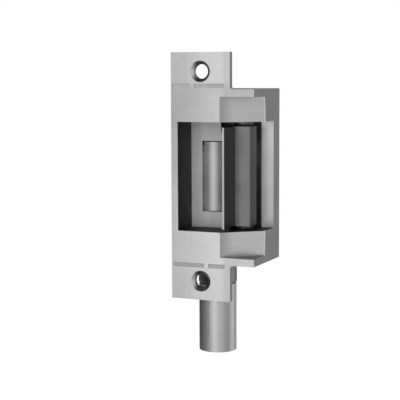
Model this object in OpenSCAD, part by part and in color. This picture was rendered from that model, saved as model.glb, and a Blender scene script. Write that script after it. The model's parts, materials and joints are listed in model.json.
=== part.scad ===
// Electric door strike with a cast body, a swinging keeper, a latch monitor bar
// and a round solenoid hanging under the body.
// X runs across the face plate towards the lip, Y runs into the door frame, Z is up.
// The origin is the middle of the two mounting holes, on the rear face of the tabs.

/* [Face plate] */
// Width of the face plate
plate_w = 31.75; // [30:0.25:34]
// Height of the face plate, tab to tab
plate_h = 123.825; // [121:0.5:127]
// Thickness of the face plate and its tabs
plate_t = 3.2; // [2.8:0.1:3.6]
// Distance between the two mounting holes
screw_spacing = 104.775; // [100:0.5:108]
// Radius of each mounting hole
screw_hole_r = 3.6; // [2.6:0.1:3.8]
// Radius of each countersink at the front face
csk_r = 5.3; // [4.4:0.1:5.8]

/* [Cast body] */
// Height of the body and lip
body_h = 87.3; // [86:0.1:88]
// Depth from the front face to the rear of the body
body_d = 36.5; // [36.5:0.1:38]
// Reach of the lip to the right of the centre line
lip_x = 28.575; // [28.2:0.1:30]
// Left side of the body behind the face plate
body_left = -14.3; // [-15:0.1:-14.2]
// Half the height of the latch opening
open_hz = 27.37; // [27.2:0.05:27.6]
// Left edge of the latch opening
open_x = -12.33; // [-12.4:0.05:-12.2]
// Where the two ramps start
ramp_x = 10.4; // [10:0.1:11]
// Depth of the ramps at the lip's right side
ramp_d = 15.35; // [14:0.1:16]
// Outer end of each ramp, from the middle
ramp_z = 39.9; // [39:0.1:41]
// Depth of the ledge behind the swung keeper
ledge_d = 28; // [28:0.1:28.4]
// Width of the shallow decorative lines on the face
line_w = 2.1; // [1.6:0.1:2.4]
// Depth of the shallow decorative lines
line_d = 0.35; // [0.2:0.05:0.5]

/* [Keeper] */
// Distance of the hinge line from the centre line
hinge_x = 14.5; // [14.4:0.05:14.6]
// Depth of the hinge line behind the front face
hinge_d = 22; // [21.9:0.05:22.1]
// Lower end of the keeper
keeper_z0 = -25.6; // [-25.8:0.1:-25.2]
// Upper end of the keeper
keeper_z1 = 24.8; // [24.4:0.1:25]
// Radius of the keeper's barrel
barrel_r = 6; // [5.8:0.05:6]
// Radius of the hinge pin
hinge_pin_r = 2.38; // [2.2:0.02:2.4]

/* [Pocket and latch monitor] */
// Depth of the pocket's back wall
pocket_d = 16.9; // [16.5:0.1:17.2]
// Thickness of the pocket liner
liner_t = 1; // [0.8:0.1:1]
// Left edge of the liner's window
window_x0 = -6.2; // [-6.4:0.1:-6]
// Right edge of the liner's window
window_x1 = 5.5; // [5.2:0.1:5.7]
// Lower edge of the liner's window
window_z0 = -19; // [-19.2:0.1:-18.8]
// Upper edge of the liner's window
window_z1 = 17.1; // [16.9:0.1:17.3]

/* [Solenoid] */
// Distance of the solenoid from the centre line
sol_x = 1; // [0.8:0.1:1.2]
// Depth of the solenoid's axis behind the front face
sol_d = 20; // [19.8:0.1:20.2]
// Radius of the threaded collar
collar_r = 9.9; // [9.9:0.05:10.3]
// Lower end of the collar
collar_z = -55.4; // [-56:0.1:-55]
// Radius of the solenoid tube
tube_r = 9.65; // [9.5:0.05:9.8]
// Lower end of the solenoid tube
tube_z = -91; // [-94:0.5:-90.5]
// Travel of the plunger and the lock slide
stroke = 5; // [4:0.1:5]

/* [Hidden] */
e = 0.01;
half_w = plate_w / 2;
half_h = plate_h / 2;
bz = body_h / 2;
cover_t = 2;
in_d = body_d - cover_t;
arm_in = 29.8;
arm_out = 40.2;
cav_x = 9;
lid_x0 = -13.2;
lid_x1 = 24.9;
lid_z = 42.4;
post_z = 37.7;
post_x = -9.6;
right_post_x = 19.4;
mon_x = -9;
mon_d = 21.5;
btn_x = -3;
btn_z = 8;
lock_z = -27;
slide_d0 = 28.8;
slide_d1 = 34.2;
head_z = -26.4;
lug_top = -14;

// Depth behind the front face turned into the Y coordinate
function dy(d) = d - plate_t;

// Box from x0 to x1, from depth d0 to d1, from z0 to z1
module block(x0, x1, d0, d1, z0, z1) {
  translate([x0, dy(d0), z0]) cube([x1 - x0, d1 - d0, z1 - z0]);
}
// Rod along Y, from depth d0 to d1
module rod_y(x, z, d0, d1, r, n = 48) {
  translate([x, dy(d0), z]) rotate([-90, 0, 0]) cylinder(h = d1 - d0, r = r, $fn = n);
}
// Cone along Y, radius r0 at depth d0 and r1 at depth d1
module cone_y(x, z, d0, d1, r0, r1) {
  translate([x, dy(d0), z]) rotate([-90, 0, 0]) cylinder(h = d1 - d0, r1 = r0, r2 = r1, $fn = 48);
}
// Rod along Z at a place given by x and depth
module rod_z(x, d, z0, z1, r, n = 64) {
  translate([x, dy(d), z0]) cylinder(h = z1 - z0, r = r, $fn = n);
}
// Rod along X at a place given by depth and z
module rod_x(d, z, x0, x1, r, n = 40) {
  translate([x0, dy(d), z]) rotate([0, 90, 0]) cylinder(h = x1 - x0, r = r, $fn = n);
}
// Ring round a line along Z
module ring_z(x, d, z0, z1, r_out, r_in, n = 64) {
  difference() {
    rod_z(x, d, z0, z1, r_out, n);
    rod_z(x, d, z0 - 1, z1 + 1, r_in, n);
  }
}
// Cross-section in x and depth, extruded from z0 to z1
module profile(pts, z0, z1) {
  translate([0, dy(0), z0]) linear_extrude(height = z1 - z0) polygon(pts);
}
// Countersunk screw with its head flush with depth d1, pointing into the body
module csk_screw(x, z, d0, d1, r, head_r, drive_r) {
  difference() {
    union() {
      rod_y(x, z, d0, d1, r);
      cone_y(x, z, d1 - (head_r - r), d1, r, head_r);
    }
    // hexagonal drive recess
    translate([x, dy(d1) - 0.9, z]) rotate([-90, 0, 0]) cylinder(h = 2, r = drive_r, $fn = 6);
  }
}
// Clearance for that screw through a plate
module csk_hole(x, z, d0, d1, r, head_r) {
  rod_y(x, z, d0, d1, r);
  cone_y(x, z, d1 - (head_r - r), d1, r, head_r);
  rod_y(x, z, d1, d1 + 1, head_r);
}

cover_screw_at = [[post_x, post_z], [post_x, -post_z], [right_post_x, 36], [right_post_x, -36]];
mech_screw_at = [[-8.6, -14.4], [5.48, -11.4], [5.48, -18.2], [-9.6, -2], [-9.6, 10]];
lock_screw_at = [[-9.6, -22.8], [-9.6, -31.2]];

// ---------------------------------------------------------------- cast body
// Small inside corner where a tab meets the lip, r across, above z
module corner_fillet(s) {
  r = 1.5;
  pts = concat([[half_w - 0.4, bz - 0.4], [half_w + r, bz - 0.4]],
    [for (i = [0:5]) [half_w + r - r * sin(i * 18), bz + r - r * cos(i * 18)]],
    [[half_w - 0.4, bz + r]]);
  translate([0, dy(0), 0]) mirror([0, 0, s < 0 ? 1 : 0])
    rotate([90, 0, 0]) mirror([0, 0, 1]) linear_extrude(height = plate_t) polygon(pts);
}

// Shallow plain line across the face, in two lengths
module face_line(x0, x1, zc) {
  block(x0, x1, -1, line_d, zc - line_w / 2, zc + line_w / 2);
}

module strike_body() {
  color("silver") difference() {
    union() {
      difference() {
        union() {
          block(-half_w, half_w, 0, plate_t, -half_h, half_h);
          block(body_left, lip_x, 0, body_d, -bz, bz);
          block(-half_w, half_w, 0, plate_t, -bz, bz);
          for (s = [-1, 1]) corner_fillet(s);
        }
        // latch opening and the chamber behind it
        block(open_x, 21.9, -1, body_d + 1, -open_hz, open_hz);
        // open side of the lip, down to the ledge
        block(21, lip_x + 1, -1, ledge_d, -open_hz, open_hz);
        // ramps above and below the keeper
        profile([[ramp_x, 0], [ramp_x, -1], [lip_x + 3, -1],
                 [lip_x + 3, ramp_d * (lip_x + 3 - ramp_x) / (lip_x - ramp_x)]], -ramp_z, ramp_z);
        // hollow arms, open to the rear
        for (s = [0, 1]) mirror([0, 0, s]) block(open_x, cav_x, 4.2, body_d + 1, arm_in, arm_out);
        // way through for the lock slide
        block(open_x, cav_x, 28.4, body_d + 1, -arm_in - 1, -open_hz + 1);
        block(cav_x - 1, 12, 28.4, body_d + 1, -32.6, -open_hz + 1);
        // seat of the rear cover
        block(lid_x0, lid_x1, in_d, body_d + 1, -lid_z, lid_z);
      }
      // screw posts in the hollow arms
      for (s = [-1, 1]) block(body_left + 0.6, -6.9, pocket_d, in_d, s > 0 ? 35.2 : -arm_out - 0.5, s > 0 ? arm_out + 0.5 : -35.2);
    }
    // mounting holes
    for (s = [-1, 1]) {
      rod_y(0, s * screw_spacing / 2, -1, plate_t + 1, screw_hole_r, 96);
      cone_y(0, s * screw_spacing / 2, 0, csk_r - screw_hole_r, csk_r, screw_hole_r);
      rod_y(0, s * screw_spacing / 2, -1, 0, csk_r, 96);
    }
    // hinge pin hole, open at the top
    rod_z(hinge_x, hinge_d, -37, bz + 1, hinge_pin_r);
    // solenoid seat
    rod_z(sol_x, sol_d, -bz - 1, -arm_out + 1, 8, 96);
    // cover screws
    for (p = cover_screw_at) rod_y(p[0], p[1], in_d - 9, in_d + 1, 1.5);
    // liner screws
    for (s = [-1, 1]) rod_z(-2, 22, s > 0 ? open_hz - 1 : -arm_in - 1, s > 0 ? arm_in + 1 : -open_hz + 1, 1);
    // shallow lines on the face
    face_line(-15, -5.8, 45.3);
    face_line(-2.9, 12.9, 45.3);
    face_line(-15, 1.8, -44.4);
    face_line(4.2, 12.9, -44.4);
  }
}

module rear_cover() {
  color("gainsboro") difference() {
    block(lid_x0 + 0.1, lid_x1 - 0.1, in_d, body_d, -lid_z + 0.1, lid_z - 0.1);
    for (p = cover_screw_at) csk_hole(p[0], p[1], in_d - 1, body_d, 1.5, 3);
    for (p = concat(mech_screw_at, lock_screw_at)) csk_hole(p[0], p[1], in_d - 1, body_d, 1, 2.1);
  }
}

module cover_screws() {
  color("lightgray") for (p = cover_screw_at) csk_screw(p[0], p[1], in_d - 8.5, body_d, 1.5, 3, 1.15);
}

// ---------------------------------------------------------------- pocket
module pocket_liner() {
  color("darkgray") difference() {
    union() {
      block(open_x + 0.05, 8.4, pocket_d, pocket_d + liner_t, -open_hz + 0.05, open_hz - 0.05);
      for (s = [-1, 1]) {
        // flanges screwed to the arms
        block(-8, 4, pocket_d, 26, s > 0 ? open_hz - 1.05 : -open_hz + 0.05, s > 0 ? open_hz - 0.05 : -open_hz + 1.05);
        // ears that hold the monitor's pivot pin
        block(-11.4, -6.9, pocket_d, 23.8, s > 0 ? 20.2 : -21.2, s > 0 ? 21.2 : -20.2);
      }
    }
    block(window_x0, window_x1, pocket_d - 1, pocket_d + liner_t + 1, window_z0, window_z1);
    // corner notch above the keeper's blade
    block(4.2, 9, pocket_d - 1, pocket_d + liner_t + 1, 21.5, open_hz);
    rod_z(mon_x, mon_d, -30, 30, 1);
    rod_z(-2, 22, -30, 30, 1);
  }
}

module liner_screws() {
  color("lightgray") for (s = [0, 1]) mirror([0, 0, s]) difference() {
    union() {
      rod_z(-2, 22, open_hz - 2, arm_in - 0.1, 1);
      rod_z(-2, 22, open_hz - 2.35, open_hz - 1.05, 2);
    }
    rod_z(-2, 22, open_hz - 3.3, open_hz - 1.75, 0.9, 6);
  }
}

// ---------------------------------------------------------------- keeper
module keeper() {
  rel = [hinge_x, hinge_d];
  color("dimgray") difference() {
    union() {
      // blade, floor and right side
      profile([[9.2, 22], [9.2, 7], [11.7, 0], [12.75, 0], [12.75, 14.6],
               [20.9, 14.6], [20.9, 23.7], [18.3, 26.6]], keeper_z0, keeper_z1);
      rod_z(rel[0], rel[1], keeper_z0, keeper_z1, barrel_r, 96);
      // locking lug at the rear of the barrel
      block(rel[0] - 2.5, rel[0] + 2.5, rel[1] + 2, rel[1] + 9.3, keeper_z0, lug_top);
    }
    // bore for the bushes
    rod_z(rel[0], rel[1], keeper_z0 - 1, keeper_z1 + 1, 3.4);
    // room for the torsion spring, behind the floor and left of the right side
    block(8, 19.4, 16.8, 30, 3, 15);
  }
}

module keeper_pin() {
  color("lightgray") union() {
    rod_z(hinge_x, hinge_d, -36.9, bz - 0.4, hinge_pin_r);
  }
}

module keeper_bushes() {
  color("peru") for (s = [0, 1]) {
    z_end = s == 0 ? keeper_z0 : keeper_z1;
    difference() {
      union() {
        rod_z(hinge_x, hinge_d, s == 0 ? z_end - 0.8 : z_end - 6, s == 0 ? z_end + 6 : z_end + 0.8, 3.4);
        rod_z(hinge_x, hinge_d, s == 0 ? z_end - 0.8 : z_end, s == 0 ? z_end : z_end + 0.8, 4.8);
      }
      rod_z(hinge_x, hinge_d, z_end - 10, z_end + 10, hinge_pin_r + 0.05);
    }
  }
}

module thrust_washers() {
  color("gainsboro") {
    ring_z(hinge_x, hinge_d, keeper_z1 + 0.85, open_hz, 4.9, hinge_pin_r + 0.05);
    ring_z(hinge_x, hinge_d, -open_hz, keeper_z0 - 0.85, 4.9, hinge_pin_r + 0.05);
  }
}

module keeper_spring() {
  color("slategray") union() {
    ring_z(hinge_x, hinge_d, 3.8, 14.2, 4.5, 2.9);
    // fixed leg, resting on the back of the liner
    rod_x(hinge_d - 3.58, 4.6, 6, hinge_x, 0.5, 24);
  }
}

// ---------------------------------------------------------------- latch monitor
module latch_monitor_bar() {
  nose_x = -0.9;
  nose_d = 21.9;
  color("gainsboro") difference() {
    union() {
      rod_z(mon_x, mon_d, -19.8, 14.4, 2.2);
      block(mon_x, 4.5, 20.6, 22.4, -19.8, 14.4);
      // rounded nose that stands in the window
      intersection() {
        rod_z(nose_x, nose_d, window_z0 + 0.35, window_z1 - 0.35, 6, 128);
        block(-5.9, 4.5, 14, 21.5, window_z0, window_z1);
      }
      block(-6.7, 4.5, 20.6, 22.4, 14, window_z1 - 0.35);
    }
    rod_z(mon_x, mon_d, -25, 20, 1.06);
  }
}

module monitor_pivot_pin() {
  color("lightgray") rod_z(mon_x, mon_d, -22, 22, 1, 40);
}

module monitor_spring() {
  color("slategray") union() {
    ring_z(mon_x, mon_d, 14.8, 20, 1.9, 1.25, 40);
    // fixed leg, resting on the back of the liner
    block(mon_x - 1.8, mon_x - 1.3, pocket_d + liner_t, mon_d, 19.3, 19.8);
  }
}

module latch_switch() {
  color("black") difference() {
    block(-6.2, 0.2, 24.4, in_d, -5.4, 14.4);
    rod_y(btn_x, btn_z, 23, 27.4, 0.95, 32);
    for (z = [-0.3, 9.3]) rod_x(31.6, z, -8, 2, 1.1);
  }
}

module latch_switch_button() {
  color("firebrick") rod_y(btn_x, btn_z, 22.56, 25.6, 0.9, 32);
}

module switch_bracket() {
  color("gainsboro") difference() {
    union() {
      block(-7.2, -6.2, 25, in_d, -5.4, 14.4);
      block(-12.2, -6.2, in_d - 1, in_d, -5.4, 14.4);
    }
    for (z = [-0.3, 9.3]) rod_x(31.6, z, -8, -5, 1.1);
    for (i = [3, 4]) rod_y(mech_screw_at[i][0], mech_screw_at[i][1], in_d - 3, in_d + 1, 1);
  }
}

module latch_switch_screws() {
  color("lightgray") for (z = [-0.3, 9.3]) difference() {
    union() {
      rod_x(31.6, z, -8, 0.6, 1.1);
      rod_x(31.6, z, 0.2, 1.3, 1.9);
      // nut behind the bracket
      rod_x(31.6, z, -8.6, -7.2, 2.1, 6);
    }
    rod_x(31.6, z, 0.8, 3, 0.85, 6);
  }
}

// ---------------------------------------------------------------- lock slide
module lock_slide() {
  color("darkgray") difference() {
    union() {
      // foot over the solenoid
      block(-4, 6, 15.4, slide_d1, -38.2, -35.4);
      // upright with a shallow cam on its left edge, a blocking head and a guide tongue
      translate([0, dy(slide_d0), 0]) rotate([90, 0, 0]) mirror([0, 0, 1])
        linear_extrude(height = slide_d1 - slide_d0)
          polygon([[-5, -38.2], [6, -38.2], [6, -32], [11.4, -32], [11.4, head_z], [4, head_z], [4, -11],
                   [-4, -11], [-4, lock_z], [-5, lock_z - 5]]);
    }
    rod_z(sol_x, sol_d, -40, -34, 1.5, 48);
  }
}

module slide_guide_left() {
  color("goldenrod") difference() {
    block(open_x + 0.05, -4.06, slide_d0 + 0.2, in_d, -20.2, -8.6);
    rod_y(mech_screw_at[0][0], mech_screw_at[0][1], slide_d0 + 1, in_d + 1, 1);
  }
}

module slide_guide_right() {
  color("goldenrod") difference() {
    block(4.06, 6.9, slide_d0 + 0.2, in_d, -21, -8.6);
    for (i = [1, 2]) rod_y(mech_screw_at[i][0], mech_screw_at[i][1], slide_d0 + 1, in_d + 1, 1);
  }
}

module mechanism_screws() {
  color("lightgray") for (i = [0:4])
    csk_screw(mech_screw_at[i][0], mech_screw_at[i][1], i < 3 ? in_d - 4 : in_d - 2.4, body_d, 1, 2.1, 0.8);
}

module lock_switch() {
  color("black") difference() {
    block(open_x + 0.1, -5.8, 28.6, in_d, -33.4, -20.6);
    rod_x(31.5, lock_z, -8.8, -4, 0.85, 32);
    for (p = lock_screw_at) rod_y(p[0], p[1], 28, in_d + 1, 1);
  }
}

module lock_switch_button() {
  color("firebrick") rod_x(31.5, lock_z, -7.6, -4.2, 0.8, 32);
}

module lock_switch_screws() {
  color("lightgray") for (p = lock_screw_at)
    csk_screw(p[0], p[1], 29.5, body_d, 1, 2.1, 0.8);
}

// ---------------------------------------------------------------- solenoid
module push_rod() {
  color("lightgray") rod_z(sol_x, sol_d, -78, -35.1, 1.5, 48);
}

module rod_locknut() {
  color("lightgray") difference() {
    rod_z(sol_x, sol_d, -39.9, -38.2, 3, 6);
    rod_z(sol_x, sol_d, -41, -37, 1.5, 48);
  }
}

module plunger() {
  color("silver") difference() {
    rod_z(sol_x, sol_d, -84, -67.2, 4.5, 96);
    rod_z(sol_x, sol_d, -78, -60, 1.5, 48);
    rod_z(sol_x, sol_d, -72, -60, 3.2);
  }
}

module plunger_spring() {
  color("slategray") ring_z(sol_x, sol_d, -72, -58, 3, 2.1, 48);
}

module fixed_pole() {
  color("silver") difference() {
    rod_z(sol_x, sol_d, -62, -41, 4.5, 96);
    rod_z(sol_x, sol_d, -63, -40, 1.56, 48);
    rod_z(sol_x, sol_d, -63, -58, 3.2);
  }
}

module solenoid_collar() {
  color("silver") difference() {
    union() {
      rod_z(sol_x, sol_d, collar_z, -bz, collar_r, 96);
      rod_z(sol_x, sol_d, -bz - 1, -arm_out, 8, 96);
      rod_z(sol_x, sol_d, collar_z - 3.4, collar_z + 1, 8.9, 96);
    }
    rod_z(sol_x, sol_d, -60, -39, 4.5, 96);
  }
}

module solenoid_tube() {
  color("silver") ring_z(sol_x, sol_d, tube_z, collar_z - 0.5, tube_r, 8.9, 96);
}

module coil_bobbin() {
  color("ivory") difference() {
    union() {
      rod_z(sol_x, sol_d, -84.6, -59.4, 5.4, 64);
      rod_z(sol_x, sol_d, -84.6, -83.2, 8.8, 64);
      rod_z(sol_x, sol_d, -60.8, -59.4, 8.8, 64);
    }
    rod_z(sol_x, sol_d, -90, -50, 4.56, 96);
  }
}

module coil_winding() {
  color("orangered") ring_z(sol_x, sol_d, -83.2, -60.8, 8.3, 5.4, 64);
}

module plunger_buffer() {
  color("black") ring_z(sol_x, sol_d, -87, -84.1, 4.3, 2.7, 48);
}

module tube_end_cap() {
  color("silver") difference() {
    rod_z(sol_x, sol_d, tube_z, -87, 8.9, 96);
    rod_z(sol_x, sol_d, tube_z - 1, -86, 3.2, 64);
    rod_z(sol_x, sol_d, tube_z - 1, tube_z + 0.8, 4.4, 64);
  }
}

module wire_grommet() {
  color("black") difference() {
    union() {
      rod_z(sol_x, sol_d, tube_z, -87, 3.2, 64);
      rod_z(sol_x, sol_d, tube_z, tube_z + 0.8, 4.4, 64);
    }
    rod_z(sol_x, sol_d, tube_z - 1, -86, 2, 64);
  }
}

strike_body();
rear_cover();
cover_screws();
pocket_liner();
liner_screws();
keeper();
keeper_pin();
keeper_bushes();
thrust_washers();
keeper_spring();
latch_monitor_bar();
monitor_pivot_pin();
monitor_spring();
latch_switch();
latch_switch_button();
switch_bracket();
latch_switch_screws();
lock_slide();
slide_guide_left();
slide_guide_right();
mechanism_screws();
lock_switch();
lock_switch_button();
lock_switch_screws();
push_rod();
rod_locknut();
plunger();
plunger_spring();
fixed_pole();
solenoid_collar();
solenoid_tube();
coil_bobbin();
coil_winding();
plunger_buffer();
tube_end_cap();
wire_grommet();
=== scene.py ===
# Looks for the electric door strike: camera, light, floor, meshes and materials.
import bpy
import bmesh
import json
import math
from mathutils import Matrix, Vector


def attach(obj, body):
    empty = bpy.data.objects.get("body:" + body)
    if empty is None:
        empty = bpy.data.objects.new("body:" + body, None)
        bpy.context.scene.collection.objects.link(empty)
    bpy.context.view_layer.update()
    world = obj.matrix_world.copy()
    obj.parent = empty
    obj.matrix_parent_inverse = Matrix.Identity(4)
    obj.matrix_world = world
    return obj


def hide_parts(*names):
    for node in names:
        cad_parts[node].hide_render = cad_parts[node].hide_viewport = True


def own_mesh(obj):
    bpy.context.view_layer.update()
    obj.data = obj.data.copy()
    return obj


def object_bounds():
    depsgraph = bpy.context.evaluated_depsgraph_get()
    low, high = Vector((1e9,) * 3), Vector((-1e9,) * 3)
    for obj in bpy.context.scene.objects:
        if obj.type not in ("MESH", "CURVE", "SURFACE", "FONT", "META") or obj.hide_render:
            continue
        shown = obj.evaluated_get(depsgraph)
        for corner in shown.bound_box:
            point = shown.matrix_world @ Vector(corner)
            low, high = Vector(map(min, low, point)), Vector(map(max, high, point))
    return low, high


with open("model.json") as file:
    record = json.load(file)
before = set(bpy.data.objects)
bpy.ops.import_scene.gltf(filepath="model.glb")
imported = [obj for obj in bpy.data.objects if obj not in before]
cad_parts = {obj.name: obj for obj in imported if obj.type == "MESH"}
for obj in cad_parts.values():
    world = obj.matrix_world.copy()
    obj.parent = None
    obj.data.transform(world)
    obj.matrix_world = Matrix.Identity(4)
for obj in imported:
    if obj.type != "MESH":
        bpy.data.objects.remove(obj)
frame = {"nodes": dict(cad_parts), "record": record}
cad_lo, cad_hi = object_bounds()
nodes = frame["nodes"]
node_body = {n: b for b, ns in frame["record"]["behaviour"]["bodies"].items() for n in ns}
scene = bpy.context.scene
MM = 0.001


# ------------------------------------------------------------------ node helpers
class Mat:
    """A small wrapper that builds a node material."""

    def __init__(self, name):
        self.m = bpy.data.materials.new(name)
        self.m.use_nodes = True
        self.t = self.m.node_tree
        self.t.nodes.clear()
        self.out = self.t.nodes.new("ShaderNodeOutputMaterial")
        self.p = self.t.nodes.new("ShaderNodeBsdfPrincipled")
        self.t.links.new(self.p.outputs[0], self.out.inputs[0])
        self.coord = self.t.nodes.new("ShaderNodeTexCoord")

    def link(self, a, b):
        self.t.links.new(a, b)

    def node(self, kind, **props):
        n = self.t.nodes.new(kind)
        for k, v in props.items():
            setattr(n, k, v)
        return n

    def mapped(self, scale, turn=0.0):
        """Object coordinates turned by turn degrees about Z, then scaled."""
        source = self.coord.outputs["Object"]
        if turn:
            r = self.node("ShaderNodeMapping")
            r.inputs["Rotation"].default_value = (0.0, 0.0, math.radians(turn))
            self.link(source, r.inputs["Vector"])
            source = r.outputs[0]
        m = self.node("ShaderNodeMapping")
        m.inputs["Scale"].default_value = scale
        self.link(source, m.inputs["Vector"])
        return m.outputs[0]

    def noise(self, scale, detail=3.0, rough=0.5, vec=None, lac=2.0):
        n = self.node("ShaderNodeTexNoise")
        n.inputs["Scale"].default_value = scale
        n.inputs["Detail"].default_value = detail
        n.inputs["Roughness"].default_value = rough
        n.inputs["Lacunarity"].default_value = lac
        self.link(vec if vec is not None else self.coord.outputs["Object"], n.inputs["Vector"])
        return n.outputs[0]

    def voronoi(self, scale, vec=None, feature="F1"):
        n = self.node("ShaderNodeTexVoronoi", feature=feature)
        n.inputs["Scale"].default_value = scale
        self.link(vec if vec is not None else self.coord.outputs["Object"], n.inputs["Vector"])
        return n.outputs[0]

    def rng(self, value, a, b, lo=0.0, hi=1.0):
        n = self.node("ShaderNodeMapRange")
        n.inputs["From Min"].default_value = a
        n.inputs["From Max"].default_value = b
        n.inputs["To Min"].default_value = lo
        n.inputs["To Max"].default_value = hi
        self.link(value, n.inputs["Value"])
        return n.outputs[0]

    def math(self, op, a, b):
        n = self.node("ShaderNodeMath", operation=op)
        for i, v in enumerate((a, b)):
            if isinstance(v, (int, float)):
                n.inputs[i].default_value = v
            else:
                self.link(v, n.inputs[i])
        return n.outputs[0]

    def mix(self, fac, a, b, blend="MIX"):
        n = self.node("ShaderNodeMix", data_type="RGBA", blend_type=blend)
        for key, v in (("Factor", fac), ("A", a), ("B", b)):
            sock = [s for s in n.inputs if s.name == key and (s.type == "RGBA" or key == "Factor")][0]
            if isinstance(v, (int, float)):
                sock.default_value = v
            elif isinstance(v, (tuple, list)):
                sock.default_value = (*v, 1.0) if len(v) == 3 else v
            else:
                self.link(v, sock)
        return [s for s in n.outputs if s.type == "RGBA"][0]

    def paint_drift(self, value, painted_drift):
        """Painted light and shade: slow drift of brightness over the piece along its axes, standing in for how light
        falls: (axis, from, to, low, high), places in mm.
        """
        if not painted_drift:
            return value
        sep = self.node("ShaderNodeSeparateXYZ")
        self.link(self.coord.outputs["Object"], sep.inputs[0])
        for axis, a, b, lo, hi in painted_drift:
            n = self.node("ShaderNodeMapRange", interpolation_type="SMOOTHSTEP")
            for k, w in (("From Min", a * MM), ("From Max", b * MM), ("To Min", lo), ("To Max", hi)):
                n.inputs[k].default_value = w
            self.link(sep.outputs["XYZ".index(axis)], n.inputs["Value"])
            value = self.math("MULTIPLY", value, n.outputs[0])
        return value

    def grey(self, value):
        """A float as a colour."""
        n = self.node("ShaderNodeCombineColor")
        for i in range(3):
            self.link(value, n.inputs[i])
        return n.outputs[0]

    def bump(self, height, strength, distance, under=None):
        n = self.node("ShaderNodeBump")
        n.inputs["Strength"].default_value = strength
        n.inputs["Distance"].default_value = distance
        self.link(height, n.inputs["Height"])
        if under is not None:
            self.link(under, n.inputs["Normal"])
        return n.outputs[0]

    def ao(self, distance, inside=False, samples=4):
        n = self.node("ShaderNodeAmbientOcclusion", inside=inside, samples=samples)
        n.inputs["Distance"].default_value = distance
        return n.outputs["AO"]

    def set(self, **kw):
        for k, v in kw.items():
            s = self.p.inputs[k.replace("_", " ")]
            if isinstance(v, (int, float)):
                s.default_value = v
            elif isinstance(v, (tuple, list)):
                s.default_value = (*v, 1.0) if len(v) == 3 else v
            else:
                self.link(v, s)


def brushed(name, base, rough, along="Z", line=5200.0, stretch=45.0, contrast=0.07, rough_var=0.06,
            bump=0.07, crevice_shade=0.25, crevice_shade_dist=1.6, patch=0.05, aniso=0.0, speck=0.02, tint=(1, 1, 1), painted_drift=(), turn=0.0,
            edge_tint=1.0):
    """Metal with a directional grain: lines about 1/line metres wide that run along one axis."""
    m = Mat(name)
    s = {"X": (stretch, line, line), "Y": (line, stretch, line), "Z": (line, line, stretch)}[along]
    vec = m.mapped(s, turn)
    fine = m.noise(1.0, 2.0, 0.6, vec)
    s2 = tuple(v * 0.22 for v in s)
    broad = m.noise(1.0, 3.0, 0.6, m.mapped(s2, turn))
    cloud = m.noise(70.0, 4.0, 0.55)
    blotch = m.noise(18.0, 2.0, 0.5)
    dots = m.noise(2600.0, 1.0, 0.5)
    v = m.math("ADD", m.rng(fine, 0.22, 0.78, -contrast, contrast), m.rng(broad, 0.25, 0.75, -contrast * 0.7, contrast * 0.7))
    v = m.math("ADD", v, m.rng(cloud, 0.3, 0.7, -patch, patch))
    v = m.math("ADD", v, m.rng(blotch, 0.3, 0.7, -patch * 0.8, patch * 0.8))
    v = m.math("ADD", v, m.rng(dots, 0.3, 0.75, speck, -speck))
    v = m.math("ADD", v, 1.0)
    # painted shade: the colour is darkened where ambient occlusion finds a crevice or recess
    occ = m.ao(crevice_shade_dist * MM)
    dark = m.rng(occ, 0.0, 0.75, 1.0 - crevice_shade, 1.0)
    v = m.math("MULTIPLY", v, dark)
    # painted light and shade: the brightness drifts along the piece's axes as listed
    v = m.paint_drift(v, painted_drift)
    col = m.mix(1.0, tuple(base * c for c in tint), m.grey(v), "MULTIPLY")
    r = m.math("ADD", m.rng(fine, 0.25, 0.75, -rough_var, rough_var), m.rng(cloud, 0.3, 0.7, -rough_var * 0.5, rough_var * 0.5))
    r = m.math("ADD", r, rough)
    r = m.math("ADD", r, m.rng(occ, 0.0, 0.7, 0.12, 0.0))
    n = m.bump(fine, bump, 0.00003)
    n = m.bump(broad, bump * 0.6, 0.00008, n)
    n = m.bump(cloud, 0.05, 0.0004, n)
    m.set(Base_Color=col, Metallic=1.0, Roughness=r, Normal=n)
    if edge_tint < 1.0:
        m.set(Specular_Tint=(edge_tint, edge_tint, edge_tint))
    if aniso:
        m.set(Anisotropic=aniso)
        tan = m.node("ShaderNodeTangent", direction_type="RADIAL", axis="Z" if along == "X" else "X")
        m.link(tan.outputs[0], m.p.inputs["Tangent"])
    return m.m


def cast_metal(name, base, rough, bump=0.5, crevice_shade=0.45, tint=(1, 1, 1), grain=1500.0):
    """Blasted or as-cast metal: a fine even pebble, with painted shade darkening the corners."""
    m = Mat(name)
    peb = m.noise(grain, 3.0, 0.65)
    cell = m.voronoi(grain * 0.7)
    cloud = m.noise(90.0, 4.0, 0.6)
    v = m.math("ADD", m.rng(peb, 0.3, 0.7, -0.08, 0.08), m.rng(cloud, 0.3, 0.7, -0.08, 0.08))
    v = m.math("ADD", v, 1.0)
    # painted shade: the colour is darkened where ambient occlusion finds a crevice or recess
    occ = m.ao(2.5 * MM)
    v = m.math("MULTIPLY", v, m.rng(occ, 0.0, 0.8, 1.0 - crevice_shade, 1.0))
    col = m.mix(1.0, tuple(base * c for c in tint), m.grey(v), "MULTIPLY")
    r = m.math("ADD", m.rng(peb, 0.3, 0.7, -0.08, 0.08), rough)
    n = m.bump(peb, bump, 0.00006)
    n = m.bump(cell, bump * 0.6, 0.00005, n)
    m.set(Base_Color=col, Metallic=1.0, Roughness=r, Normal=n)
    return m.m


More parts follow.
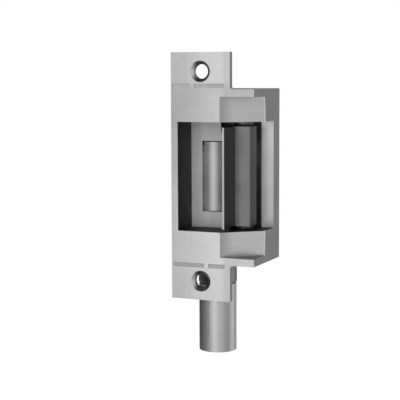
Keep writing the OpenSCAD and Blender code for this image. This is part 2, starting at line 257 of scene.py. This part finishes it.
def turned(name, base, rough, axis_xy, pitch=0.00022, tint=(1, 1, 1), crevice_shade=0.2, depth=0.25, var=0.06,
           drawn=0.7, painted_drift=()):
    """Lathe-turned metal: fine rings round a vertical axis, with light drawing marks along it."""
    m = Mat(name)
    vec = m.mapped((60.0, 60.0, 1.0 / pitch))
    rings = m.noise(1.0, 2.0, 0.5, vec)
    draw = m.noise(1.0, 3.0, 0.6, m.mapped((2400.0, 2400.0, 25.0)))
    cloud = m.noise(60.0, 4.0, 0.6)
    ring_var = var if drawn < 1.0 else var * 0.25
    v = m.math("ADD", m.rng(rings, 0.3, 0.7, -ring_var, ring_var), m.rng(draw, 0.3, 0.7, -var * drawn, var * drawn))
    v = m.math("ADD", v, m.rng(cloud, 0.3, 0.7, -0.05, 0.05))
    v = m.math("ADD", v, 1.0)
    # painted shade: the colour is darkened where ambient occlusion finds a crevice or recess
    occ = m.ao(1.5 * MM)
    v = m.math("MULTIPLY", v, m.rng(occ, 0.0, 0.75, 1.0 - crevice_shade, 1.0))
    # painted light and shade: the brightness drifts along the piece's axes as listed
    v = m.paint_drift(v, painted_drift)
    col = m.mix(1.0, tuple(base * c for c in tint), m.grey(v), "MULTIPLY")
    r = m.math("ADD", m.rng(rings if drawn < 1.0 else draw, 0.3, 0.7, -0.07, 0.07), rough)
    r = m.math("ADD", r, m.rng(cloud, 0.3, 0.7, -0.05, 0.05))
    n = m.bump(rings, depth, 0.00003)
    n = m.bump(draw, depth * 0.4, 0.00003, n)
    m.set(Base_Color=col, Metallic=1.0, Roughness=r, Normal=n)
    return m.m


def plastic(name, base, rough, bump=0.25, grain=2200.0, coat=0.0, sss=0.0):
    """Moulded plastic with a fine texture and slight colour drift."""
    m = Mat(name)
    peb = m.noise(grain, 2.0, 0.6)
    cloud = m.noise(120.0, 3.0, 0.6)
    v = m.math("ADD", m.rng(cloud, 0.3, 0.7, -0.1, 0.1), m.rng(peb, 0.3, 0.7, -0.05, 0.05))
    v = m.math("ADD", v, 1.0)
    col = m.mix(1.0, base, m.grey(v), "MULTIPLY")
    r = m.math("ADD", m.rng(peb, 0.3, 0.7, -0.07, 0.07), rough)
    n = m.bump(peb, bump, 0.00004)
    m.set(Base_Color=col, Roughness=r, Normal=n)
    if coat:
        m.set(Coat_Weight=coat)
    if sss:
        m.set(Subsurface_Weight=sss, Subsurface_Scale=0.001)
    return m.m


def copper_wire(name):
    """Enamelled winding: fine turns along Z with a coppery lacquer."""
    m = Mat(name)
    vec = m.mapped((1.0, 1.0, 1.0))
    wave = m.node("ShaderNodeTexWave", wave_type="BANDS", bands_direction="Z")
    wave.inputs["Scale"].default_value = 480.0
    wave.inputs["Distortion"].default_value = 0.3
    m.link(vec, wave.inputs["Vector"])
    cloud = m.noise(200.0, 3.0, 0.6)
    col = m.mix(m.rng(cloud, 0.3, 0.7), (0.46, 0.13, 0.045), (0.62, 0.22, 0.08))
    # painted shade: dark bands along Z between the turns stand for the shade in the creases between the wires
    col = m.mix(m.rng(wave.outputs[1], 0.0, 0.35, 0.55, 0.0), col, (0.12, 0.03, 0.01))
    n = m.bump(wave.outputs[1], 0.5, 0.0001)
    m.set(Base_Color=col, Metallic=0.85, Roughness=0.28, Normal=n, Coat_Weight=0.6)
    return m.m


# ------------------------------------------------------------------ materials
M = {}
# face, ramp, ledge and side are one satin steel in copies of different brightness: painted light and shade. The face is
# painted lighter towards the right, lower down and on the top tab, and darker next to the ramp.
M["face"] = brushed("satin_face", 0.57, 0.36, "Z", contrast=0.05, speck=0.03,
                    painted_drift=(("X", -15, 10, 0.86, 1.08), ("X", 10.8, 13.5, 1.0, 0.86), ("Z", -30, 30, 1.14, 0.91),
                          ("Z", 43, 49, 1.0, 1.17)))
# ramp: a darker copy of the steel, painted darker still at its left edge and higher up: painted shade
M["ramp"] = brushed("satin_ramp_painted_shade", 0.49, 0.34, "X", contrast=0.10, line=4000.0, patch=0.03, turn=-40.2,
                    painted_drift=(("X", 10.6, 16.5, 0.68, 1.0), ("Z", -30, 30, 1.03, 0.95)))
# ledge: a lighter copy of the steel, painted lighter higher up and at its left, darker at its right end: painted light
# and shade
M["ledge"] = brushed("satin_ledge_painted_light", 0.67, 0.36, "Z", contrast=0.06,
                     painted_drift=(("Z", 5, 26, 1.0, 1.20), ("X", 22, 26.5, 1.30, 0.95), ("X", 26, 28.6, 1.0, 0.80)))
# side, top, bottom and back faces: a darker copy of the steel: painted shade
M["side"] = brushed("satin_side_painted_shade", 0.33, 0.40, "Y", contrast=0.05)
M["edge"] = brushed("worn_edge", 0.66, 0.30, "Z", contrast=0.04, bump=0.06)
M["cast"] = cast_metal("cast_inside", 0.20, 0.55)
# pocket walls inside the opening: coloured near-black as painted shade for the shadow in the pocket
M["pocket"] = cast_metal("pocket_painted_shade", 0.030, 0.6, crevice_shade=0.6)
# floors of the shallow lines across the face plate: darker and matte
M["etch"] = cast_metal("etched_line", 0.47, 0.5, bump=0.25, grain=4000.0)
# countersinks: painted lighter on the left of each hole and darker to its right, with strong painted shade in the
# hollow
M["sunk"] = turned("countersink", 0.20, 0.34, (0, 0), pitch=0.00025, crevice_shade=0.75, depth=0.35,
                   painted_drift=(("X", -4.8, -2.0, 2.8, 0.5),))
# the keeper's steel comes in four copies of different brightness, a lighter tip, the floor and near-black blade faces
# and right side: painted light and shade. The floor is painted lighter at its left and darker to its right.
M["keeper"] = brushed("keeper_steel", 0.35, 0.36, "Z", contrast=0.05, crevice_shade=0.30,
                      painted_drift=(("X", 13.5, 21.5, 1.5, 0.58),))
M["keeper_painted_shade"] = brushed("keeper_painted_shade", 0.030, 0.42, "Z", contrast=0.10, crevice_shade=0.35, edge_tint=0.8)
M["keeper_side_painted_shade"] = brushed("keeper_side_painted_shade", 0.030, 0.40, "Z", contrast=0.10, crevice_shade=0.35)
M["keeper_tip_painted_light"] = brushed("keeper_tip_painted_light", 0.46, 0.30, "Z", contrast=0.05)
# liner: painted lighter next to the pocket's left wall and darker to the right: painted light and shade
M["liner"] = brushed("liner_sheet", 0.60, 0.50, "Z", contrast=0.04, line=3800.0, crevice_shade=0.3, patch=0.07, speck=0.04,
                     painted_drift=(("X", -13.5, -6.5, 1.65, 1.08), ("X", -8, 2.5, 1.0, 0.72)))
# monitor bar: painted lighter on its left and right flanks: painted light
M["monitor"] = brushed("monitor_steel", 0.66, 0.60, "Z", contrast=0.04, crevice_shade=0.35,
                      painted_drift=(("X", -6, -1.5, 1.45, 1.0), ("X", 2.0, 4.3, 1.0, 1.45)))
# tube: painted darker on its left and in a band near its front, lighter from its middle back: painted light and shade
M["tube"] = turned("drawn_tube", 0.48, 0.33, (1.0, 16.8), pitch=0.0006, depth=0.05, var=0.05, drawn=1.8,
                   painted_drift=(("X", -6, 2.8, 0.54, 0.93), ("Y", 8.3, 10.2, 1.04, 0.80), ("Y", 11, 15, 1.0, 1.55)))
# collar and end cap: a darker copy of the steel, painted darker still towards the front: painted shade for the plate's
# shadow
M["collar"] = turned("turned_collar", 0.245, 0.36, (1.0, 16.8), pitch=0.0003, depth=0.15,
                     painted_drift=(("Y", 7.5, 11.5, 0.45, 1.0),))
M["zinc"] = brushed("zinc_sheet", 0.55, 0.36, "Z", line=2600.0, stretch=120.0, contrast=0.05, tint=(0.98, 1.0, 1.03))
M["screw"] = turned("plated_screw", 0.62, 0.28, (0, 0), pitch=0.0002, crevice_shade=0.6)
M["ground"] = turned("ground_pin", 0.62, 0.22, (0, 0), pitch=0.00015, depth=0.15)
# thrust washers: coloured near-black as painted shade for the dark gap above the keeper
M["washer"] = turned("washer_painted_shade", 0.12, 0.35, (0, 0), pitch=0.0002, crevice_shade=0.6)
M["spring"] = turned("spring_wire", 0.26, 0.33, (0, 0), pitch=0.0004, crevice_shade=0.3)
M["slide"] = cast_metal("sintered_slide", 0.36, 0.42, bump=0.35, grain=3000.0, crevice_shade=0.3)
M["iron"] = turned("nickel_iron", 0.52, 0.26, (1.0, 16.8), pitch=0.00025, tint=(1.0, 0.98, 0.94))
M["brass"] = brushed("machined_brass", 1.0, 0.30, "X", contrast=0.06, tint=(0.70, 0.50, 0.20))
# bushes: bronze tint darkened to a near-black brown, with strong crevice darkening: painted shade
M["bronze"] = cast_metal("sintered_bronze", 1.0, 0.46, bump=0.3, grain=3500.0, tint=(0.115, 0.085, 0.06), crevice_shade=0.7)
M["copper"] = copper_wire("enamelled_copper")
M["black_plastic"] = plastic("switch_housing", (0.022, 0.022, 0.024), 0.45)
M["red_plastic"] = plastic("switch_button", (0.42, 0.03, 0.02), 0.25, bump=0.08, coat=0.3)
M["nylon"] = plastic("natural_nylon", (0.78, 0.73, 0.60), 0.42, bump=0.1, sss=0.2)
M["rubber"] = plastic("black_rubber", (0.018, 0.018, 0.018), 0.62, bump=0.35, grain=1400.0)


# ------------------------------------------------------------------ mesh helpers
def cad_bmesh(node):
    """The CAD node's own surface, welded, with its flat faces joined into whole polygons."""
    bm = bmesh.new()
    bm.from_mesh(nodes[node].data)
    bmesh.ops.remove_doubles(bm, verts=bm.verts, dist=2e-7)
    bmesh.ops.dissolve_limit(bm, angle_limit=math.radians(0.6), use_dissolve_boundaries=False,
                             verts=bm.verts, edges=bm.edges)
    return bm


def round_edges(bm, width, segments=2, angle=28.0, keep=None):
    """Rounds each edge sharper than angle. width is in mm."""
    picked = []
    for ed in bm.edges:
        if len(ed.link_faces) != 2:
            continue
        if ed.calc_face_angle(0.0) > math.radians(angle) and (keep is None or keep(ed)):
            picked.append(ed)
    bmesh.ops.bevel(bm, geom=picked, offset=width * MM, offset_type="OFFSET", segments=segments,
                    profile=0.5, affect="EDGES", clamp_overlap=True, loop_slide=True)
    return bm


def finish_mesh(bm, name, mats, classify=None, smooth_angle=40.0):
    bmesh.ops.recalc_face_normals(bm, faces=bm.faces)
    for f in bm.faces:
        f.smooth = True
        if classify is not None:
            f.material_index = classify(f)
    me = bpy.data.meshes.new(name)
    bm.to_mesh(me)
    bm.free()
    for m in mats:
        me.materials.append(m)
    ob = bpy.data.objects.new(name, me)
    scene.collection.objects.link(ob)
    me.set_sharp_from_angle(angle=math.radians(smooth_angle))
    wn = ob.modifiers.new("weighted", "WEIGHTED_NORMAL")
    wn.keep_sharp = True
    wn.weight = 80
    return ob


def stand_for(ob, *cad, body=None, slot=None):
    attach(ob, body or node_body[cad[0]])
    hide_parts(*cad)
    return ob


def refined(node, width, mats, classify=None, segments=2, angle=28.0, keep=None, smooth_angle=40.0):
    bm = round_edges(cad_bmesh(node), width, segments, angle, keep)
    return stand_for(finish_mesh(bm, node + "_visual", mats, classify, smooth_angle), node)


# ------------------------------------------------------------------ body
T = 3.2  # face plate thickness in mm: depth behind the front face is y + T


# sorts the body's faces into materials; the face, ramp, ledge and side copies carry painted light and shade, the
# pocket's near-black walls painted shade
def body_class(f):
    n, c = f.normal, f.calc_center_median() / MM
    d = c.y + T
    if math.hypot(c.x, abs(c.z) - 52.3875) < 5.25 and 0.02 < d < 3.19 and abs(n.y) < 0.97:
        return 8
    if abs(c.z) < 27.6 and c.x > -12.4 and d > 0.5 and not (n.y < -0.97 and c.x > 21.5):
        if not (abs(n.x) > 0.97 and c.x > 28.4) and not n.y > 0.97:
            return 7
    if n.y < -0.97 and d < 0.05:
        return 0
    if n.y < -0.97 and 0.2 < d < 0.5 and 43.0 < abs(c.z) < 47.0:
        return 6
    if 0.25 < d < 0.4 and 43.0 < abs(c.z) < 47.0 and abs(c.x) < 15:
        return 6
    if n.x > 0.5 and n.y < -0.6 and c.x > 10.0 and abs(n.z) < 0.2:
        return 1
    if n.y < -0.97 and c.x > 21.5 and 27 < d < 28.6:
        return 2
    if abs(n.x) > 0.97 and (c.x > 28.4 or c.x < -14.2 or (c.x > 15.8 and d < 3.3)):
        return 3
    if abs(n.z) > 0.97 and abs(c.z) > 43.5:
        return 3
    if n.y > 0.97:
        return 3
    if 15.8 < c.x < 17.0 and 43.0 < abs(c.z) < 44.6 and d < 3.3 and n.y > -0.97:
        return 3
    if max(abs(n.x), abs(n.y), abs(n.z)) < 0.97 and d < 3.6 and c.x > -16 and abs(c.z) < 64:
        return 4
    if c.x > 21.0 and max(abs(n.x), abs(n.y), abs(n.z)) < 0.97:
        return 4
    return 5


def face_line(ed):
    """True on the rims of the shallow lines in the face plate, which stay crisp."""
    mid = (ed.verts[0].co + ed.verts[1].co) / 2 / MM
    return 42.9 < abs(mid.z) < 47.0 and mid.y < -2.8 and abs(mid.x) < 15.2


def lip_edge(ed):
    """True on the lip's long front corners, which are rounded more."""
    a, b = (v.co / MM for v in ed.verts)
    on = min(a.x, b.x) > 28.5
    ramp = all(abs(v.y + T - 15.35) < 0.1 and 27.0 < abs(v.z) < 40.1 for v in (a, b))
    ledge = all(abs(v.y + T - 28.0) < 0.1 and abs(v.z) < 27.5 for v in (a, b))
    return on and (ramp or ledge)


bm = cad_bmesh("strike_body")
round_edges(bm, 0.9, 4, keep=lip_edge)
round_edges(bm, 0.35, 3, keep=lambda ed: not face_line(ed))
body = stand_for(finish_mesh(bm, "strike_body_visual",
                             [M["face"], M["ramp"], M["ledge"], M["side"], M["edge"], M["cast"], M["etch"],
                              M["pocket"], M["sunk"]], body_class), "strike_body")


# ------------------------------------------------------------------ other pieces
# sorts the keeper's faces into its lit and shaded copies (0 floor, 1 tip, 2 blade faces, 3 right side): painted light
# and shade
def keeper_class(f):
    c, n = f.calc_center_median() / MM, f.normal
    d = c.y + T
    if d < 7.2 and n.x < 0.9 and c.x < 12.9:
        return 1
    if c.x > 20.0:
        return 3
    return 0 if n.y < -0.9 and c.x > 12.9 and d < 15.2 else 2


refined("keeper", 0.25, [M["keeper"], M["keeper_tip_painted_light"], M["keeper_painted_shade"], M["keeper_side_painted_shade"]], keeper_class, segments=3)
refined("pocket_liner", 0.12, [M["liner"]])
refined("latch_monitor_bar", 0.2, [M["monitor"]])
refined("rear_cover", 0.25, [M["zinc"]])
refined("cover_screws", 0.12, [M["screw"]])
refined("mechanism_screws", 0.1, [M["screw"]])
refined("lock_switch_screws", 0.1, [M["screw"]])
refined("latch_switch_screws", 0.12, [M["screw"]])
refined("liner_screws", 0.12, [M["screw"]])
refined("keeper_pin", 0.4, [M["ground"]], segments=3)
refined("keeper_bushes", 0.15, [M["bronze"]])
refined("thrust_washers", 0.12, [M["washer"]])
refined("monitor_pivot_pin", 0.2, [M["ground"]])
refined("latch_switch", 0.3, [M["black_plastic"]])
refined("latch_switch_button", 0.25, [M["red_plastic"]], segments=3)
refined("switch_bracket", 0.15, [M["zinc"]])
refined("lock_slide", 0.25, [M["slide"]])
refined("slide_guide_left", 0.25, [M["brass"]])
refined("slide_guide_right", 0.25, [M["brass"]])
refined("lock_switch", 0.3, [M["black_plastic"]])
refined("lock_switch_button", 0.25, [M["red_plastic"]], segments=3)
refined("push_rod", 0.25, [M["ground"]])
refined("rod_locknut", 0.15, [M["screw"]])
refined("plunger", 0.3, [M["iron"]])
refined("fixed_pole", 0.3, [M["iron"]])
refined("solenoid_collar", 0.4, [M["collar"]], segments=3)
refined("solenoid_tube", 0.25, [M["tube"]], segments=3)
refined("coil_bobbin", 0.2, [M["nylon"]])
refined("plunger_buffer", 0.4, [M["rubber"]])
refined("tube_end_cap", 0.25, [M["collar"]])
refined("wire_grommet", 0.3, [M["rubber"]])


# ------------------------------------------------------------------ wound pieces
def sweep(bm, points, r, sides=10):
    """A round wire of radius r along points (all in mm), closed at both ends."""
    pts = [Vector(p) for p in points]
    rings = []
    side = None
    for i, p in enumerate(pts):
        t = (pts[min(i + 1, len(pts) - 1)] - pts[max(i - 1, 0)]).normalized()
        if side is None:
            side = t.orthogonal().normalized()
        side = (side - t * side.dot(t)).normalized()
        up_ = t.cross(side)
        rings.append([bm.verts.new((p + (side * math.cos(2 * math.pi * k / sides)
                                         + up_ * math.sin(2 * math.pi * k / sides)) * r) * MM)
                      for k in range(sides)])
    for a, b in zip(rings, rings[1:]):
        for k in range(sides):
            bm.faces.new((a[k], a[(k + 1) % sides], b[(k + 1) % sides], b[k]))
    bm.faces.new(list(reversed(rings[0])))
    bm.faces.new(rings[-1])


def helix(cx, cy, r, z0, z1, turns, start=0.0, turn=1, closed=0.9, pitch_closed=0.0, per=40):
    """Points of a compression coil: closed turns of pitch_closed at each end, an even pitch between."""
    pts = []
    n = int(turns * per)
    free = turns - 2 * closed
    rise = (z1 - z0 - 2 * closed * pitch_closed) / free
    for i in range(n + 1):
        t = turns * i / n
        if t < closed:
            z = z0 + pitch_closed * t
        elif t > turns - closed:
            z = z1 - pitch_closed * (turns - t)
        else:
            z = z0 + pitch_closed * closed + rise * (t - closed)
        a = start + turn * 2 * math.pi * t
        pts.append((cx + r * math.cos(a), cy + r * math.sin(a), z))
    return pts


def lathe(bm, cx, cy, outline, steps=96):
    """Turns a closed outline of (radius, z) points round a vertical axis, all in mm."""
    rings = []
    for i in range(steps):
        a = 2 * math.pi * i / steps
        rings.append([bm.verts.new(Vector((cx + r * math.cos(a), cy + r * math.sin(a), z)) * MM)
                      for r, z in outline])
    m = len(outline)
    for i in range(steps):
        a, b = rings[i], rings[(i + 1) % steps]
        for k in range(m):
            bm.faces.new((a[k], b[k], b[(k + 1) % m], a[(k + 1) % m]))


SOL = (1.0, 20.0 - T)
HINGE = (14.5, 22.0 - T)
MON = (-9.0, 21.5 - T)

# plunger spring: 0.8 mm wire, closed ends, made at a single length here, though the real one is pressed shorter as the
# plunger rises
bm = bmesh.new()
sweep(bm, helix(*SOL, 2.55, -71.58, -58.42, 9.0, closed=1.0, pitch_closed=0.82), 0.4)
plunger_spring = stand_for(finish_mesh(bm, "plunger_spring_visual", [M["spring"]]), "plunger_spring")
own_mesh(plunger_spring)

# keeper spring: torsion coil with a fixed leg on the back of the liner, and an upper turn
# whose leg pushes the keeper's floor and swings with it
bm = bmesh.new()
leg = [(6.1 + i * 1.2, HINGE[1] - 3.55, 4.6) for i in range(7)]
sweep(bm, leg + helix(*HINGE, 3.55, 4.6, 12.35, 6.9, start=-math.pi / 2, closed=0.0, turn=1), 0.48, 12)
stand_for(finish_mesh(bm, "keeper_spring_visual", [M["spring"]]), "keeper_spring")
bm = bmesh.new()
leg = [(HINGE[0] + 3.55, HINGE[1] - 5.1 + i * 0.85, 13.58) for i in range(6)]
sweep(bm, leg + helix(*HINGE, 3.55, 13.58, 13.58, 0.86, start=0.0, closed=0.0, turn=1), 0.48, 12)
moving_leg = finish_mesh(bm, "keeper_spring_leg_visual", [M["spring"]])
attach(moving_leg, "keeper_body")

# latch monitor spring: fine torsion coil with one leg on the back of the liner
bm = bmesh.new()
leg = [(MON[0] - 1.58, 17.95 - T, 19.55), (MON[0] - 1.58, 19.5 - T, 19.55), (MON[0] - 1.58, 21.0 - T, 19.55)]
sweep(bm, leg + helix(*MON, 1.58, 19.55, 15.1, 7.5, start=math.pi, closed=0.0, turn=-1, per=32), 0.24, 8)
stand_for(finish_mesh(bm, "monitor_spring_visual", [M["spring"]]), "monitor_spring")

# winding: enamelled wire laid turn by turn on a core of the lower layers
bm = bmesh.new()
lathe(bm, *SOL, [(5.42, -83.15), (7.95, -83.15), (7.95, -60.85), (5.42, -60.85)])
sweep(bm, helix(*SOL, 8.03, -82.9, -61.1, 47.0, closed=0.0, per=36), 0.235, 6)
stand_for(finish_mesh(bm, "coil_winding_visual", [M["copper"]]), "coil_winding")


# ------------------------------------------------------------------ camera
AZ, EL, ROLL = math.radians(23.538), math.radians(6.216), math.radians(-0.229)
DIST = 0.61188
TARGET = Vector((-4.574, 10.0 - T, -12.576)) * MM
back = Vector((math.sin(AZ) * math.cos(EL), -math.cos(AZ) * math.cos(EL), math.sin(EL)))
right = Vector((math.cos(AZ), math.sin(AZ), 0.0))
up = back.cross(right)
if up.z < 0:
    up = -up
r2 = right * math.cos(ROLL) + up * math.sin(ROLL)
u2 = -right * math.sin(ROLL) + up * math.cos(ROLL)
cam_data = bpy.data.cameras.new("camera")
cam = bpy.data.objects.new("camera", cam_data)
scene.collection.objects.link(cam)
cam.matrix_world = Matrix(((r2.x, u2.x, back.x, 0), (r2.y, u2.y, back.y, 0), (r2.z, u2.z, back.z, 0), (0, 0, 0, 1)))
cam.location = TARGET + back * DIST
cam_data.sensor_width = 36.0
cam_data.lens = 36.0 * 1204.76 / 400.0
cam_data.clip_start, cam_data.clip_end = 0.01, 50.0
cam_data.dof.use_dof = False
scene.camera = cam

# ------------------------------------------------------------------ light
# A plain soft studio: brightness round the object by azimuth (0 is in front of the
# face plate, 90 is to its right), a large overhead diffuser and a front-left key.
RING = [0.60, 0.30, 0.15, 0.15, 0.26, 0.66, 1.84, 0.88, 0.96, 0.60, 1.16, 0.30]  # from -180 in steps of 30
OVERHEAD = 0.40
LIGHTS = {
    # name: (azimuth, elevation, distance, width, height, power)
    "key": (-28, 34, 1.3, 0.7, 0.7, 0.9),
}
centre = Vector((5.0, 15.0, -15.0)) * MM
for name, (az, el, dist, w, h, power) in LIGHTS.items():
    a, e = math.radians(az), math.radians(el)
    way = Vector((math.sin(a) * math.cos(e), -math.cos(a) * math.cos(e), math.sin(e)))
    ld = bpy.data.lights.new(name, "AREA")
    ld.shape = "RECTANGLE"
    ld.size, ld.size_y = w, h
    ld.energy = power
    lo = bpy.data.objects.new(name, ld)
    scene.collection.objects.link(lo)
    lo.location = centre + way * dist
    lo.rotation_mode = "QUATERNION"
    lo.rotation_quaternion = way.to_track_quat("Z", "Y")

world = bpy.data.worlds.new("studio")
scene.world = world
world.use_nodes = True
wt = world.node_tree
wt.nodes.clear()
wo = wt.nodes.new("ShaderNodeOutputWorld")
wc = wt.nodes.new("ShaderNodeTexCoord")
ws = wt.nodes.new("ShaderNodeSeparateXYZ")
wt.links.new(wc.outputs["Generated"], ws.inputs[0])


def wmath(op, a, b=0.0):
    n = wt.nodes.new("ShaderNodeMath")
    n.operation = op
    for i, v in enumerate((a, b)):
        if isinstance(v, (int, float)):
            n.inputs[i].default_value = v
        else:
            wt.links.new(v, n.inputs[i])
    return n.outputs[0]


azimuth = wmath("ARCTAN2", ws.outputs[0], wmath("MULTIPLY", ws.outputs[1], -1.0))
turn = wmath("ADD", wmath("DIVIDE", azimuth, 2 * math.pi), 0.5)
ring = wt.nodes.new("ShaderNodeValToRGB")
ring.name = "ring"
ring.color_ramp.interpolation = "LINEAR"
for i in range(1, 12):
    ring.color_ramp.elements.new(i / 12)
for i, stop in enumerate(ring.color_ramp.elements):
    v = RING[i % 12]
    stop.color = (v, v, v, 1.0)
wt.links.new(turn, ring.inputs[0])
high = wt.nodes.new("ShaderNodeMapRange")
high.interpolation_type = "SMOOTHSTEP"
high.inputs["From Min"].default_value = 0.55
high.inputs["From Max"].default_value = 0.85
wt.links.new(ws.outputs[2], high.inputs["Value"])
ringed = wmath("MULTIPLY", ring.outputs[0], wmath("SUBTRACT", 1.0, high.outputs[0]))
over = wmath("MULTIPLY", high.outputs[0], OVERHEAD)
over.node.name = "overhead"
sky = wmath("ADD", ringed, over)
lit = wt.nodes.new("ShaderNodeBackground")
lit.inputs[0].default_value = (1, 1, 1, 1)
wt.links.new(sky, lit.inputs[1])
seen = wt.nodes.new("ShaderNodeBackground")
seen.inputs[0].default_value = (1, 1, 1, 1)
seen.inputs[1].default_value = 1.0
mixw = wt.nodes.new("ShaderNodeMixShader")
path = wt.nodes.new("ShaderNodeLightPath")
wt.links.new(path.outputs["Is Camera Ray"], mixw.inputs[0])
wt.links.new(lit.outputs[0], mixw.inputs[1])
wt.links.new(seen.outputs[0], mixw.inputs[2])
wt.links.new(mixw.outputs[0], wo.inputs[0])

# ------------------------------------------------------------------ floor
fb = bmesh.new()
bmesh.ops.create_circle(fb, cap_ends=True, cap_tris=False, segments=96, radius=3.0)
fm = bpy.data.meshes.new("floor")
fb.to_mesh(fm)
fb.free()
floor = bpy.data.objects.new("floor", fm)
scene.collection.objects.link(floor)
floor.location = (0, 0, cad_lo[2] - 0.8)
mf = Mat("floor_paper")
cl = mf.noise(3.0, 3.0, 0.5)
lp = mf.node("ShaderNodeLightPath")
mf.set(Base_Color=mf.mix(mf.rng(cl, 0.3, 0.7), (0.80, 0.80, 0.80), (0.84, 0.84, 0.84)), Roughness=0.9,
       Emission_Color=(1.0, 1.0, 1.0), Emission_Strength=mf.math("ADD", mf.math("MULTIPLY", lp.outputs["Is Camera Ray"], 0.7), 0.2))
fm.materials.append(mf.m)

scene.view_settings.view_transform = "Standard"
scene.view_settings.look = "None"
scene.view_settings.exposure = 0.0
scene.view_settings.gamma = 1.0
